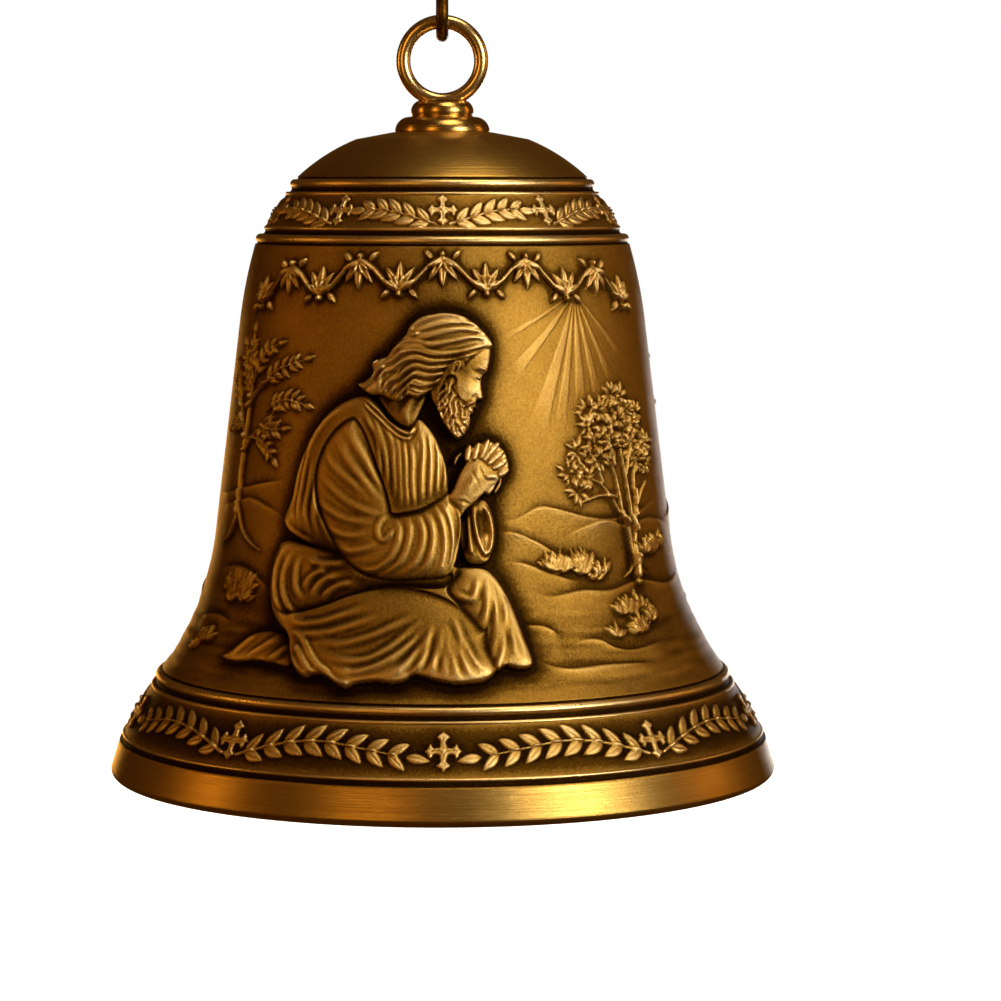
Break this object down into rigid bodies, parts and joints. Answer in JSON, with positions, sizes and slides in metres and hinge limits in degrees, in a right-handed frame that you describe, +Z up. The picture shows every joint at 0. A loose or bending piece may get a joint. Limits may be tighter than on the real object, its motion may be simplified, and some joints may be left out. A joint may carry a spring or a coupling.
{
  "type": "hanging bell",
  "caption": "Small cast brass bell with a flared mouth, relief band, ringed crown, wire hook and hung clapper.",
  "frame": {"origin": "centre of the mouth, on the plane of the rim", "axes": "+Z up the bell's axis to the hook; the front, with the main relief, faces -Y; the hanging ring lies in the XZ plane"},
  "size_m": [0.06, 0.06, 0.09],
  "materials": {
    "cast_brass": "antiqued casting, dark in the recesses",
    "turned_brass": "turned, aged satin",
    "clapper_brass": "tumbled, dull",
    "dark_wire": "drawn wire, darkened",
    "plated_steel": "dull zinc plate"
  },
  "bodies": {
    "hook": {"hanging_hook": "dark_wire"},
    "bell": {"bell_shell": "cast_brass", "crown_collar": "turned_brass", "hanging_ring": "turned_brass", "crown_stud": "plated_steel", "crown_washer": "plated_steel", "crown_nut": "plated_steel", "clapper_eye": "plated_steel"},
    "link": {"clapper_link": "plated_steel"},
    "clapper": {"clapper_rod": "plated_steel", "clapper_ball": "clapper_brass", "clapper_tip_nut": "plated_steel"}
  },
  "joints": [
    {"name": "bell_swing", "type": "hinge", "parent": "hook", "child": "bell", "pos_m": [0, 0, 0.06737], "axis": [1, 0, 0], "range_deg": [-85, 85]},
    {"name": "link_swing", "type": "hinge", "parent": "bell", "child": "link", "pos_m": [0, 0, 0.04605], "axis": [1, 0, 0], "range_deg": [-21, 21]},
    {"name": "clapper_swing", "type": "hinge", "parent": "link", "child": "clapper", "pos_m": [0, 0, 0.04116], "axis": [0, 1, 0], "range_deg": [-14, 14]}
  ]
}
